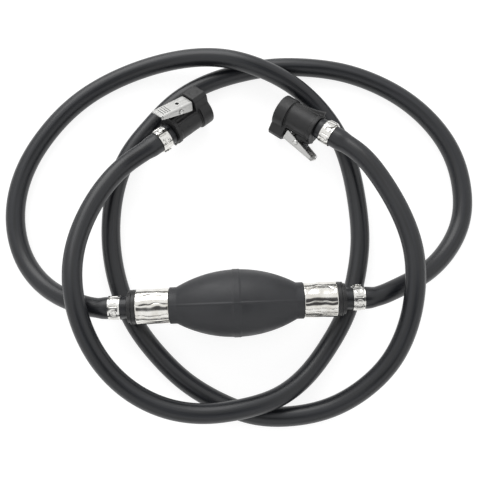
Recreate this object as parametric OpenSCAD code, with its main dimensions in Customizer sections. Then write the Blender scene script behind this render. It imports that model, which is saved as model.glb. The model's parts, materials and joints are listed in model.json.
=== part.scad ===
// Outboard fuel line: a rubber primer bulb between two hoses, each ending in a quick connector.
// X runs along the bulb from the tank side to the engine side, Z is up, and z = 0 is the table
// on which the coiled line lies. The origin is under the middle of the bulb and connectors.

/* [Hose] */
// Outer diameter of the hose
hose_od = 14; // [13:0.5:14]
// Bore of the hose
hose_bore = 8; // [7:0.5:9]
// Growth of the hose's radius where a barb fills it
hose_swell = 0.8; // [0.5:0.1:0.9]
// Number of flat sides of a hose tube
hose_sides = 12; // [8:1:12]

/* [Primer bulb] */
// Largest diameter of the bulb
bulb_d = 47.6; // [40:0.1:52]
// Length of the bulging part
barrel_len = 82; // [70:1:96]
// Diameter of the bulging part where it ends
barrel_end_d = 27; // [26:0.5:32]
// Wall of the bulb
bulb_wall = 3; // [2:0.5:4]
// Height of the cross band above the bulb
band_rise = 0.3; // [0.1:0.1:0.6]
// Width of the cross band
band_w = 5; // [3:0.5:8]
// Diameter of the short rubber collar at each end
neck_collar_d = 25.8; // [25.4:0.2:27]
// Length of the rubber collar
neck_collar_len = 6; // [4:0.5:8]
// Distance of the bulb's axis behind the origin
bulb_back = 70; // [60:1:80]

/* [Sleeves] */
// Outer diameter of the crimped sleeve
sleeve_d = 25; // [24:0.2:26]
// Wall of the sleeve
sleeve_wall = 0.7; // [0.5:0.1:1]
// Length of the sleeve
sleeve_len = 23.5; // [18:0.5:28]

/* [Check valves] */
// Diameter of the valve body's flange
valve_flange_d = 24.4; // [23:0.2:24.6]
// Thickness of that flange
valve_flange_t = 6; // [4:0.5:8]
// Diameter of the plug inside the bulb's neck
plug_d = 17; // [16:0.5:17.5]
// Length of the plug
plug_len = 26; // [22:1:30]
// Diameter of the chamber in the plug
chamber_d = 13; // [12:0.5:13.5]
// Fuel passage through valve bodies and nipples
passage_d = 5.6; // [4:0.2:6]
// Diameter of the check valve's disc
disc_d = 10.4; // [9:0.2:11]
// Thickness of the disc
disc_t = 2; // [1.5:0.1:2.5]
// Travel of the disc
disc_travel = 2; // [1:0.5:3]
// Thickness of the cage and of the seat ring
cage_t = 3; // [2:0.5:4]

/* [Barbs and clamps] */
// Diameter of a barb's stem
barb_d = 8.6; // [8.2:0.1:9]
// Height of the barb's ridges above the stem
barb_rise = 0.6; // [0.3:0.1:0.8]
// Length of the barb on a valve body
valve_barb_len = 16; // [14:1:20]
// Length of the barb on a connector
conn_barb_len = 19; // [16:1:22]
// Width of a hose clamp
clamp_w = 8.2; // [7:0.2:9]
// Thickness of the clamp's band
clamp_t = 0.8; // [0.6:0.1:1]
// Gap from a hose's end to its clamp
clamp_inset = 5.2; // [4:0.2:6]

/* [Connector] */
// Diameter of the round collar at the mouth
collar_d = 24.8; // [24:0.2:28]
// Length of the collar
collar_len = 9.4; // [7:0.2:11]
// Offset of the collar from the fuel axis, towards the guide block
collar_shift = 3; // [2:0.5:4]
// Diameter of the barrel
barrel_d = 21; // [20.5:0.5:23]
// Offset of the barrel from the fuel axis
barrel_shift = 2; // [1.5:0.5:2]
// Length of the connector's body
shell_len = 33; // [32:0.5:36]
// Thickness of the rear flange
rear_flange_t = 3; // [2:0.5:4]
// Diameter of the rear flange
rear_flange_d = 22.6; // [22:0.2:26]
// Width of the guide block
block_w = 16; // [15:0.5:18]
// Wall of the guide block outside the guide socket
block_wall = 2.6; // [2:0.1:4]
// Length of the guide block
block_len = 12; // [10:0.5:12]
// Distance of the block's front face behind the mouth
block_back = 0; // [0:0.1:2]
// Width of the saddle between the barrel and the lever
saddle_w = 15; // [14:0.5:16]
// Height of the saddle above the fuel axis
saddle_top = 10.8; // [9:0.1:11.2]
// Length of the saddle behind the guide block
saddle_len = 18; // [14:0.5:20]
// Greatest height of the fin
fin_rise = 4; // [2:0.1:6]
// Thickness of the fin
fin_t = 3.6; // [3:0.2:5]
// Distance of the fin's start behind the mouth
fin_back = 14; // [10:0.5:18]

/* [Sockets] */
// Diameter of the fuel socket
fuel_bore = 10; // [9:0.2:10.2]
// Depth of the fuel socket
fuel_depth = 15; // [13:0.5:15]
// Diameter of the hole in the poppet's seat
seat_bore = 6.4; // [5:0.2:7]
// Thickness of the poppet's seat
seat_t = 2; // [1.5:0.1:2.5]
// Diameter of the guide pin's socket
guide_bore = 6.2; // [5:0.1:6.4]
// Thickness of the seal ring's cord
seal_cord = 2.3; // [2:0.1:2.4]
// Distance of the seal behind the mouth
seal_back = 4.3; // [4:0.1:6]
// Travel of the poppet
poppet_travel = 3; // [2:0.5:4]

/* [Latch lever] */
// Width of the lever
lever_w = 12; // [11:0.5:13]
// Thickness of the lever's sheet
lever_t = 1.2; // [0.8:0.1:1.2]
// Length from the pivot to the lever's nose
lever_front = 10.5; // [9:0.1:10.5]
// Length from the pivot to the lever's thumb end
lever_rear = 18; // [15:0.2:19]
// Height of the lever's outer face above the pivot
lever_rise = 3.9; // [3.8:0.1:4.5]
// Depth of the side flanges below the pivot at the nose
lever_skirt = 3.9; // [3.4:0.1:4.3]
// Angle of the lever while it is at rest
lever_open = 9; // [7:0.5:11]
// Distance of the pivot inside the guide socket's outermost line
pivot_drop = 1.4; // [1:0.1:1.6]
// Diameter of the lever's pin
pin_d = 2.5; // [2:0.1:2.6]

/* [Placement of the connectors] */
// Mouth of the tank connector
tank_mouth = [-19.5, 81, 11.5];
// Direction of the tank connector's mouth
tank_heading = 39.5; // [20:0.5:50]
// Droop of the tank connector's mouth
tank_droop = 14; // [10:0.5:18]
// Roll of the tank connector's guide block above the horizontal
tank_roll = 65; // [50:1:70]
// Mouth of the engine connector
engine_mouth = [41, 79, 17.8];
// Direction of the engine connector's mouth
engine_heading = 141; // [130:0.5:160]
// Droop of the engine connector's mouth
engine_droop = 12; // [8:0.5:14]
// Roll of the engine connector's guide block above the horizontal
engine_roll = -36; // [-38:1:-20]

/* [Hidden] */
// Radial clearance between two pieces that are pushed together
push_gap = 0.1;
// Radial clearance of a pin in its running bearing
run_gap = 0.07;
// Clearance between faces that slide past each other or rest together
face_gap = 0.2;
// Overlap that joins two shapes of one piece
weld = 0.5;
// Distance by which a cut runs past a face
past = 1;

// Stations along the bulb, measured from its middle
barrel_end = barrel_len / 2;
sleeve_start = barrel_end + neck_collar_len;
flange_start = sleeve_start + sleeve_len;
flange_end = flange_start + valve_flange_t;
plug_mouth = flange_start - plug_len;
chamber_floor_t = 3;
chamber_floor = flange_start - chamber_floor_t;
bulb_axis_z = hose_od + valve_flange_d / 2 + face_gap;
bulb_at = [0, -bulb_back, bulb_axis_z];

// Radius of the arc that makes the bulging part
belly_drop = (bulb_d - barrel_end_d) / 2;
belly_arc = (barrel_end ^ 2 + belly_drop ^ 2) / (2 * belly_drop);

// Stations inside a check valve, along the bulb
cage_in = plug_mouth + cage_t;
inlet_disc_top = chamber_floor - face_gap;
outlet_disc_base = cage_in + face_gap;
check_spring_len = chamber_floor - cage_in - disc_t - 3 * face_gap;
stem_d = 2.4;

// Heights in a connector, measured from its fuel axis towards the guide block
guide_pitch = barrel_shift + barrel_d / 2 + push_gap + guide_bore / 2;
guide_top = guide_pitch + guide_bore / 2;
block_top = guide_top + block_wall;
pivot_rise = guide_top - pivot_drop;

// Stations of a connector, measured back from its mouth
nose_gap = 1.2;
block_rear = block_back + block_len;
pivot_back = block_rear + nose_gap + lever_front;
seat_rear = fuel_depth + seat_t;
nipple_head_len = 6;
nipple_front = shell_len - nipple_head_len;
poppet_disc_t = 1.8;
poppet_disc_d = 9.8;
poppet_face = seat_rear + face_gap;
poppet_rear = poppet_face + poppet_disc_t;

// Seat of the lever's spring: its distance behind the pivot and its height above the fuel axis
lever_spring_reach = 6.1;
spring_seat_y = 14.6;

// Routes of the two hoses between their straight ends
tank_route = [
    [-114, -65, 23.5], [-136, -53, 15.5], [-154, -33, 9], [-163, -8, 7], [-163, 19, 7],
    [-155, 45, 7], [-141, 68, 7], [-123, 88, 7], [-101, 104, 7], [-76, 115, 8.5],
    [-50, 121, 12], [-23, 122, 17], [3, 117, 22], [28, 108, 21], [52, 96, 13.5],
    [71, 78, 8], [84, 55, 7], [91, 29, 7], [94, 2, 7], [94, -25, 7], [89, -52, 7],
    [80, -78, 7], [66, -101, 7], [49, -121, 10], [27, -136, 17], [1, -143, 22],
    [-26, -145, 23.5], [-52, -140, 25], [-76, -127, 27], [-94, -108, 32], [-106, -84, 38],
    [-112, -58, 41], [-112, -31, 38], [-105, -5, 33], [-93, 18, 28], [-75, 38, 24]
];
engine_route = [
    [114, -64, 22.5], [137, -53, 16], [157, -36, 10], [171, -12, 7], [174, 15, 7],
    [169, 41, 7], [156, 65, 7], [137, 85, 7], [114, 100, 7], [89, 110, 7], [62, 115, 7],
    [35, 116, 7], [8, 112, 7], [-18, 104, 7], [-42, 90, 7], [-61, 71, 7], [-78, 49, 7],
    [-88, 24, 7], [-92, -3, 7], [-91, -30, 7], [-85, -57, 7], [-74, -82, 7],
    [-58, -104, 7], [-39, -123, 7], [-16, -138, 7], [9, -148, 7.5], [36, -150, 9.5],
    [63, -145, 13.5], [86, -133, 20], [105, -115, 27], [117, -92, 35], [123, -66, 41],
    [124, -39, 41], [118, -12, 39], [108, 12, 36], [94, 34, 33]
];

$fn = 48;

// ---- Places ----

// Puts a piece drawn along +Z on the bulb's axis, pointing out through the tank side
module on_inlet() {
    translate(bulb_at) rotate([0, -90, 0]) children();
}

// The same, pointing out through the engine side
module on_outlet() {
    translate(bulb_at) rotate([0, 90, 0]) children();
}

// Puts a piece drawn in the connector's frame: +Z out of the mouth, +Y towards the guide block
module at_connector(mouth, heading, droop, roll) {
    translate(mouth) rotate([0, 90 + droop, heading]) rotate([0, 0, roll]) children();
}

module at_tank() {
    at_connector(tank_mouth, tank_heading, tank_droop, tank_roll) children();
}

module at_engine() {
    at_connector(engine_mouth, engine_heading, engine_droop, engine_roll) children();
}

// Point on a connector's fuel axis, at a distance behind its mouth
function behind(mouth, heading, droop, back) = mouth - back * [
    cos(droop) * cos(heading), cos(droop) * sin(heading), -sin(droop)
];

// ---- Shapes that repeat ----

module tube(outer, inner, from, to) {
    translate([0, 0, from]) difference() {
        cylinder(d = outer, h = to - from);
        translate([0, 0, -past]) cylinder(d = inner, h = to - from + 2 * past);
    }
}

// Barbed stem from z = 0 to z = len, its ridges rising away from the tip
module barb(len) {
    cylinder(d = barb_d, h = len);
    ridge = len / 4;
    for (i = [1:3])
        translate([0, 0, i * ridge])
            cylinder(d1 = barb_d + 2 * barb_rise, d2 = barb_d, h = ridge * 0.8, $fn = 48);
}

// Round wire wound into a compression spring of round pitch, standing on z = 0
module coil_spring(outer, wire, len, turns) {
    steps = 12;
    sides = 6;
    mean = (outer - wire) / 2;
    rise = (len - wire) / (turns * steps);
    last = turns * steps;
    rings = [for (i = [0:last]) let (a = 360 * i / steps)
        [for (k = [0:sides - 1]) let (b = 360 * k / sides, r = mean + wire / 2 * cos(b))
            [r * cos(a), r * sin(a), wire / 2 + i * rise + wire / 2 * sin(b)]]];
    points = [for (ring = rings) for (p = ring) p];
    skin = [for (i = [0:last - 1]) for (k = [0:sides - 1]) let (n = (k + 1) % sides)
        each [[i * sides + k, (i + 1) * sides + k, (i + 1) * sides + n],
              [i * sides + k, (i + 1) * sides + n, i * sides + n]]];
    first_cap = [for (k = [0:sides - 1]) k];
    last_cap = [for (k = [0:sides - 1]) last * sides + sides - 1 - k];
    polyhedron(points, concat(skin, [first_cap], [last_cap]));
}

function unit(v) = v / norm(v);

// Ring of points of one radius around a route's point, square to the route
function ring_at(path, i, r) =
    let (last = len(path) - 1,
         t = unit(path[min(i + 1, last)] - path[max(i - 1, 0)]),
         u = unit(cross([0, 0, 1], t)),
         v = cross(t, u))
    [for (k = [0:hose_sides - 1]) let (a = 360 * (k + 0.5) / hose_sides)
        path[i] + r * (cos(a) * u + sin(a) * v)];

// Hollow hose along a route. Its two rings at each end are swollen by the barbs inside them.
module hose_tube(path) {
    n = len(path);
    m = hose_sides;
    grow = [for (i = [0:n - 1]) (i < 2 || i > n - 3) ? hose_swell : 0];
    outer = [for (i = [0:n - 1]) each ring_at(path, i, hose_od / 2 + grow[i])];
    inner = [for (i = [0:n - 1]) each ring_at(path, i, hose_bore / 2 + grow[i])];
    b = n * m;
    walls = [for (i = [0:n - 2]) for (k = [0:m - 1])
        let (p = i * m + k, q = i * m + (k + 1) % m)
        each [[p, q + m, q], [p, p + m, q + m],
              [b + p, b + q, b + q + m], [b + p, b + q + m, b + p + m]]];
    first_end = [for (k = [0:m - 1]) let (p = k, q = (k + 1) % m)
        each [[p, q, b + q], [p, b + q, b + p]]];
    e = (n - 1) * m;
    last_end = [for (k = [0:m - 1]) let (p = e + k, q = e + (k + 1) % m)
        each [[p, b + q, q], [p, b + p, b + q]]];
    polyhedron(concat(outer, inner), concat(walls, first_end, last_end));
}

// Stainless band around a swollen hose, from z = 0, with its tongue folded back over it
module band_clamp() {
    inner = hose_od + 2 * (hose_swell + push_gap);
    outer = inner + 2 * clamp_t;
    tongue_w = clamp_w * 0.7;
    tube(outer, inner, 0, clamp_w);
    translate([0, 0, (clamp_w - tongue_w) / 2])
        rotate_extrude(angle = 80)
            translate([outer / 2 - clamp_t / 4, 0])
                square([clamp_t * 0.9, tongue_w]);
}

// ---- Bulb ----

function belly_r(x) = bulb_d / 2 - belly_arc + sqrt(belly_arc ^ 2 - x ^ 2);

module primer_bulb() {
    steps = 10;
    half_band = band_w / 2;
    neck_r = sleeve_d / 2 - sleeve_wall - push_gap;
    plug_hole_r = plug_d / 2 + push_gap;
    stations = [for (i = [0:steps]) half_band + (barrel_end - half_band) * i / steps];
    cavity_end = min(barrel_end, plug_mouth) - 1;
    cavity = [for (i = [0:steps]) cavity_end * i / steps];
    band_r = bulb_d / 2 + band_rise;
    half_outer = concat(
        [[band_r, 0], [band_r, half_band]],
        [for (x = stations) [belly_r(x), x]],
        [[neck_collar_d / 2, barrel_end], [neck_collar_d / 2, sleeve_start],
         [neck_r, sleeve_start], [neck_r, flange_start]]);
    half_inner = concat(
        [[plug_hole_r, flange_start], [plug_hole_r, cavity_end]],
        [for (i = [steps:-1:0]) [belly_r(cavity[i]) - bulb_wall, cavity[i]]]);
    right = concat(half_outer, half_inner);
    color([0.2, 0.2, 0.21])
        on_outlet()
            for (side = [0, 1])
                mirror([0, 0, side]) rotate_extrude() polygon(right);
}

module sleeve() {
    color("silver")
        tube(sleeve_d, sleeve_d - 2 * sleeve_wall, sleeve_start, flange_start);
}

module inlet_sleeve() { on_inlet() sleeve(); }
module outlet_sleeve() { on_outlet() sleeve(); }

// ---- Check valves ----

// Plug, flange and barb in one moulding, with the valve's chamber open towards the bulb
module valve_body() {
    color([0.12, 0.12, 0.12])
        difference() {
            union() {
                translate([0, 0, plug_mouth]) cylinder(d = plug_d, h = plug_len + weld);
                translate([0, 0, flange_start]) cylinder(d = valve_flange_d, h = valve_flange_t);
                translate([0, 0, flange_end - weld]) barb(valve_barb_len + weld);
            }
            translate([0, 0, plug_mouth - past])
                cylinder(d = chamber_d, h = chamber_floor - plug_mouth + past);
            translate([0, 0, plug_mouth])
                cylinder(d = passage_d, h = plug_len + valve_flange_t + valve_barb_len + past);
        }
}

module inlet_valve_body() { on_inlet() valve_body(); }
module outlet_valve_body() { on_outlet() valve_body(); }

// The inlet's disc rests against the chamber's floor and opens towards the bulb
module inlet_valve_disc() {
    tip = plug_mouth - 1;
    disc_base = inlet_disc_top - disc_t;
    color("ivory") on_inlet() {
        translate([0, 0, disc_base]) cylinder(d = disc_d, h = disc_t);
        translate([0, 0, tip]) cylinder(d = stem_d, h = disc_base - tip + weld);
    }
}

// The outlet's disc rests against the seat ring and opens away from the bulb
module outlet_valve_disc() {
    color("ivory") on_outlet() {
        translate([0, 0, outlet_disc_base]) cylinder(d = disc_d, h = disc_t);
        translate([0, 0, outlet_disc_base + disc_t - weld])
            cylinder(d = stem_d, h = chamber_floor - outlet_disc_base - disc_t + weld);
    }
}

module check_spring() {
    outer = 9;
    wire = 0.7;
    turns = 5;
    color("gray") coil_spring(outer, wire, check_spring_len, turns);
}

module inlet_valve_spring() {
    on_inlet() translate([0, 0, cage_in + face_gap]) check_spring();
}

module outlet_valve_spring() {
    on_outlet() translate([0, 0, outlet_disc_base + disc_t + face_gap]) check_spring();
}

// Perforated stop that holds the inlet's spring and guides the disc's stem
module inlet_valve_cage() {
    stem_hole = stem_d + 4 * push_gap;
    hole = 2.6;
    reach = (chamber_d + stem_hole) / 4;
    color("ivory")
        on_inlet() translate([0, 0, plug_mouth]) difference() {
            cylinder(d = chamber_d - 2 * push_gap, h = cage_t);
            translate([0, 0, -past]) cylinder(d = stem_hole, h = cage_t + 2 * past);
            for (a = [0:60:300])
                rotate([0, 0, a]) translate([reach, 0, -past])
                    cylinder(d = hole, h = cage_t + 2 * past);
        }
}

module outlet_valve_seat() {
    color("ivory")
        on_outlet()
            tube(chamber_d - 2 * push_gap, passage_d, plug_mouth, plug_mouth + cage_t);
}

// ---- Hoses and clamps ----

module tank_hose() {
    ends = [bulb_at - [flange_end, 0, 0], bulb_at - [flange_end + valve_barb_len, 0, 0]];
    tail = [for (s = [shell_len + conn_barb_len, shell_len])
        behind(tank_mouth, tank_heading, tank_droop, s)];
    color([0.13, 0.13, 0.14]) hose_tube(concat(ends, tank_route, tail));
}

module engine_hose() {
    ends = [bulb_at + [flange_end, 0, 0], bulb_at + [flange_end + valve_barb_len, 0, 0]];
    tail = [for (s = [shell_len + conn_barb_len, shell_len])
        behind(engine_mouth, engine_heading, engine_droop, s)];
    color([0.13, 0.13, 0.14]) hose_tube(concat(ends, engine_route, tail));
}

module bulb_clamp() {
    color("lightgray")
        translate([0, 0, flange_end + clamp_inset]) rotate([0, 0, 200]) band_clamp();
}

module bulb_inlet_clamp() { on_inlet() bulb_clamp(); }
module bulb_outlet_clamp() { on_outlet() bulb_clamp(); }

module connector_clamp() {
    color("lightgray")
        translate([0, 0, -shell_len - clamp_inset - clamp_w]) rotate([0, 0, 140]) band_clamp();
}

module tank_hose_clamp() { at_tank() connector_clamp(); }
module engine_hose_clamp() { at_engine() connector_clamp(); }

// ---- Connector ----

// Outline of the block that takes the guide pin, with its outer corners bevelled
module block_outline() {
    bevel = 2.5;
    half = block_w / 2;
    polygon([[-half, 0], [half, 0], [half, block_top - bevel], [half - bevel, block_top],
             [bevel - half, block_top], [-half, block_top - bevel]]);
}

// Rib under the lever, drawn as [distance behind the mouth, height], with the pivot's boss on it
module rib_outline() {
    boss = 2.5;
    under_guide = 0.4;
    over_pivot = 1.9;
    low = guide_pitch - guide_bore / 2 - under_guide;
    crest = pivot_rise + over_pivot;
    seat = spring_seat_y - face_gap;
    polygon([[block_rear - weld, 0], [block_rear - weld, low], [pivot_back - boss, low],
             [pivot_back - boss, crest - 1], [pivot_back - boss + 1, crest],
             [pivot_back + boss - 1, crest], [pivot_back + boss, crest - 1],
             [pivot_back + boss, seat], [shell_len, seat], [shell_len, 0]]);
}

// Fin opposite the guide block: a low step that rises along a parabola to the rear flange
module fin_outline() {
    step = 0.8;
    steps = 8;
    root = barrel_shift - barrel_d / 2;
    curve = [for (i = [0:steps]) let (t = i / steps)
        [fin_back + (shell_len - fin_back) * t, root - step - (fin_rise - step) * t ^ 2]];
    polygon(concat([[fin_back, 0]], curve, [[shell_len, 0]]));
}

// Extrudes an outline given as [distance behind the mouth, height] across the connector
module across(width) {
    rotate([0, 90, 0]) translate([0, 0, -width / 2]) linear_extrude(width) children();
}

// Round parts of the body: collar, barrel and rear flange
module body_rounds() {
    translate([0, collar_shift, -collar_len]) cylinder(d = collar_d, h = collar_len);
    translate([0, barrel_shift, -shell_len])
        cylinder(d = barrel_d, h = shell_len - collar_len + weld);
    translate([0, barrel_shift, -shell_len]) cylinder(d = rear_flange_d, h = rear_flange_t);
}

// Bores along the fuel axis, from the mouth to the rear: socket, seal groove, seat and chamber
module fuel_cuts() {
    groove_len = seal_cord + 0.3;
    groove_d = fuel_bore + 2 * seal_cord + 0.4;
    translate([0, 0, -fuel_depth]) cylinder(d = fuel_bore, h = fuel_depth + past);
    translate([0, 0, -seal_back - groove_len / 2]) cylinder(d = groove_d, h = groove_len);
    translate([0, 0, -seat_rear - past]) cylinder(d = seat_bore, h = seat_t + 2 * past);
    translate([0, 0, -shell_len - past]) cylinder(d = chamber_d, h = shell_len - seat_rear + past);
}

module connector_body() {
    rib_w = lever_w - 2 * lever_t - 4 * face_gap;
    color([0.17, 0.17, 0.17])
        difference() {
            union() {
                body_rounds();
                translate([0, 0, -block_rear]) linear_extrude(block_len) block_outline();
                translate([-saddle_w / 2, 0, -block_rear - saddle_len])
                    cube([saddle_w, saddle_top, saddle_len + weld]);
                across(rib_w) rib_outline();
                across(fin_t) fin_outline();
            }
            fuel_cuts();
            translate([0, guide_pitch, -block_rear - past])
                cylinder(d = guide_bore, h = block_rear + 2 * past);
            translate([0, pivot_rise, -pivot_back]) rotate([0, 90, 0])
                cylinder(d = pin_d + 2 * run_gap, h = lever_w, center = true);
        }
}

module tank_connector_body() { at_tank() connector_body(); }
module engine_connector_body() { at_engine() connector_body(); }

module hose_nipple() {
    color("goldenrod")
        difference() {
            union() {
                translate([0, 0, -shell_len])
                    cylinder(d = chamber_d - 2 * push_gap, h = nipple_head_len);
                translate([0, 0, -shell_len + weld])
                    rotate([180, 0, 0]) barb(conn_barb_len + weld);
            }
            translate([0, 0, -shell_len - conn_barb_len - past])
                cylinder(d = passage_d, h = conn_barb_len + nipple_head_len + 2 * past);
        }
}

module tank_hose_nipple() { at_tank() hose_nipple(); }
module engine_hose_nipple() { at_engine() hose_nipple(); }

// Side flange of the lever as [distance behind the pivot, height above the pivot]: it tapers in a
// straight line from the nose to the thumb end
module lever_side() {
    thumb_depth = 2.9;
    corner = 1;
    polygon([[-lever_front, lever_rise], [lever_rear, lever_rise],
             [lever_rear, lever_rise - thumb_depth],
             [corner - lever_front, -lever_skirt], [-lever_front, corner - lever_skirt]]);
}

// Plate across the lever at one distance behind the pivot, between two heights
module lever_plate(width, from, to, low, high) {
    across(width) polygon([[from, low], [from, high], [to, high], [to, low]]);
}

// Folded steel lever about its pivot: plate, two side flanges and the nose that holds the guide pin
module folded_lever() {
    tongue_w = 4.4;
    tongue_low = pivot_drop + push_gap;
    tongue_from = 0.1 - lever_front;
    hole_d = 2.4;
    hole_ahead = 1;
    difference() {
        union() {
            lever_plate(lever_w, -lever_front, lever_rear, lever_rise - lever_t, lever_rise);
            for (side = [-1, 1])
                translate([side * (lever_w - lever_t) / 2, 0, 0]) across(lever_t) lever_side();
            lever_plate(tongue_w, tongue_from, tongue_from + lever_t, tongue_low,
                        lever_rise - lever_t / 2);
        }
        rotate([0, 90, 0])
            cylinder(d = pin_d + 2 * run_gap, h = lever_w + 2 * past, center = true);
        translate([0, 0, hole_ahead]) rotate([-90, 0, 0])
            cylinder(d = hole_d, h = lever_rise + past);
    }
}

module latch_lever() {
    color("whitesmoke")
        translate([0, pivot_rise, -pivot_back]) rotate([lever_open, 0, 0]) folded_lever();
}

module tank_latch_lever() { at_tank() latch_lever(); }
module engine_latch_lever() { at_engine() latch_lever(); }

module lever_pin() {
    head_t = 0.8;
    head_d = 4;
    reach = lever_w / 2 + face_gap;
    color("silver")
        translate([0, pivot_rise, -pivot_back]) rotate([0, 90, 0]) {
            cylinder(d = pin_d, h = 2 * reach + head_t, center = true);
            for (side = [0, 1])
                mirror([0, 0, side]) translate([0, 0, reach]) cylinder(d = head_d, h = head_t);
        }
}

module tank_lever_pin() { at_tank() lever_pin(); }
module engine_lever_pin() { at_engine() lever_pin(); }

// The spring stands on the rib and lifts the lever's thumb end
module lever_spring() {
    outer = 4.4;
    wire = 0.6;
    turns = 4;
    near_edge = lever_spring_reach - outer / 2;
    plate = pivot_rise + (lever_rise - lever_t) * cos(lever_open) + near_edge * sin(lever_open);
    color("gray")
        translate([0, spring_seat_y, -pivot_back - lever_spring_reach]) rotate([-90, 0, 0])
            coil_spring(outer, wire, plate - spring_seat_y - face_gap, turns);
}

module tank_lever_spring() { at_tank() lever_spring(); }
module engine_lever_spring() { at_engine() lever_spring(); }

// Poppet that closes the fuel socket: disc behind the seat, nose in its hole, stem in the nipple
module valve_poppet() {
    nose_d = 3.6;
    nose_inset = 0.3;
    stem_end = nipple_front + 1;
    color("ivory") {
        translate([0, 0, -poppet_rear]) cylinder(d = poppet_disc_d, h = poppet_disc_t);
        translate([0, 0, -poppet_face - weld])
            cylinder(d = nose_d, h = seat_t + face_gap - nose_inset + weld);
        translate([0, 0, -stem_end]) cylinder(d = stem_d, h = stem_end - poppet_rear + weld);
    }
}

module tank_valve_poppet() { at_tank() valve_poppet(); }
module engine_valve_poppet() { at_engine() valve_poppet(); }

module valve_spring() {
    outer = 8.4;
    wire = 0.7;
    turns = 4;
    color("gray")
        translate([0, 0, face_gap - nipple_front])
            coil_spring(outer, wire, nipple_front - poppet_rear - 2 * face_gap, turns);
}

module tank_valve_spring() { at_tank() valve_spring(); }
module engine_valve_spring() { at_engine() valve_spring(); }

module fuel_seal() {
    color("black")
        translate([0, 0, -seal_back])
            rotate_extrude() translate([fuel_bore / 2 + push_gap + seal_cord / 2, 0])
                circle(d = seal_cord);
}

module tank_fuel_seal() { at_tank() fuel_seal(); }
module engine_fuel_seal() { at_engine() fuel_seal(); }

// ---- Nodes ----

primer_bulb();
inlet_sleeve();
outlet_sleeve();
inlet_valve_body();
outlet_valve_body();
inlet_valve_disc();
outlet_valve_disc();
inlet_valve_spring();
outlet_valve_spring();
inlet_valve_cage();
outlet_valve_seat();
bulb_inlet_clamp();
bulb_outlet_clamp();
tank_hose();
engine_hose();
tank_hose_clamp();
engine_hose_clamp();
tank_connector_body();
tank_hose_nipple();
tank_latch_lever();
tank_lever_pin();
tank_lever_spring();
tank_valve_poppet();
tank_valve_spring();
tank_fuel_seal();
engine_connector_body();
engine_hose_nipple();
engine_latch_lever();
engine_lever_pin();
engine_lever_spring();
engine_valve_poppet();
engine_valve_spring();
engine_fuel_seal();
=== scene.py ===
import json

import bmesh
import bpy
import numpy as np
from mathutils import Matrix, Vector


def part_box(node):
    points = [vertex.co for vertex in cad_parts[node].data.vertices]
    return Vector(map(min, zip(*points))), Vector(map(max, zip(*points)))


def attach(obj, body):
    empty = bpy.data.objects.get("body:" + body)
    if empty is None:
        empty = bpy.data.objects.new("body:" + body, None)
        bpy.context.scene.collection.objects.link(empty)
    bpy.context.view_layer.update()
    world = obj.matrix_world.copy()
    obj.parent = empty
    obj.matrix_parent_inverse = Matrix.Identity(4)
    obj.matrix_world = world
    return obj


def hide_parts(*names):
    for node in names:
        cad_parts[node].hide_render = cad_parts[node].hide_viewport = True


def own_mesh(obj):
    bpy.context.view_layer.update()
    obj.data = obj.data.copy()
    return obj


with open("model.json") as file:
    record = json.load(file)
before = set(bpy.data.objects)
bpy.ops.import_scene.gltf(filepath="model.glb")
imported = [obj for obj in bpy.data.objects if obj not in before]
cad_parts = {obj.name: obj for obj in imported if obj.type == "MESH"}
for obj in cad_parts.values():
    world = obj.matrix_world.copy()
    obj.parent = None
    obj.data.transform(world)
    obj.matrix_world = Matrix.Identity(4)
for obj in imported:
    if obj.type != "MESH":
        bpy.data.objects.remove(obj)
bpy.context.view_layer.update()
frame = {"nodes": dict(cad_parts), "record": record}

nodes = frame["nodes"]
record = frame["record"]
MM = 0.001

# ---- Studio: camera, light and table ----
# The line lies on a white table inside a bright light tent. The tent is open overhead, where the
# camera hangs, so faces that look straight up mirror something darker than those that look sideways.


def linear(code):
    """Linear RGBA of an sRGB hex colour, by the sRGB curve."""
    value = np.array([int(code[i:i + 2], 16) for i in (1, 3, 5)]) / 255
    curve = np.where(value <= 0.04045, value / 12.92, ((value + 0.055) / 1.055) ** 2.4)
    return (*curve, 1.0)


def add_node(tree, kind, inputs=(), **settings):
    """Adds one node with its settings. Each input is given a number or another node's output."""
    node = tree.nodes.new(kind)
    for name, value in settings.items():
        setattr(node, name, value)
    for name, value in dict(inputs).items():
        if isinstance(value, bpy.types.NodeSocket):
            tree.links.new(value, node.inputs[name])
        else:
            node.inputs[name].default_value = value
    return node


def set_ramp(ramp, stops):
    """Gives a colour ramp its stops, each a position and a linear colour."""
    elements = ramp.color_ramp.elements
    while len(elements) < len(stops):
        elements.new(1.0)
    for element, (position, colour) in zip(elements, stops):
        element.position = position
        element.color = colour


eye = Vector((0.0005, -0.1164, 0.4978))
aim = Vector((0.0043, -0.0211, 0.007))
camera = bpy.data.objects.new("camera", bpy.data.cameras.new("camera"))
camera.data.lens = 50.1
camera.data.sensor_width = 36
camera.location = eye
camera.rotation_euler = (aim - eye).to_track_quat("-Z", "Y").to_euler()
bpy.context.scene.collection.objects.link(camera)
bpy.context.scene.camera = camera
bpy.context.scene.view_settings.view_transform = "Standard"

tent = bpy.data.worlds.new("light_tent")
tent.use_nodes = True
tent.node_tree.nodes.clear()
direction = add_node(tent.node_tree, "ShaderNodeTexCoord")
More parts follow.
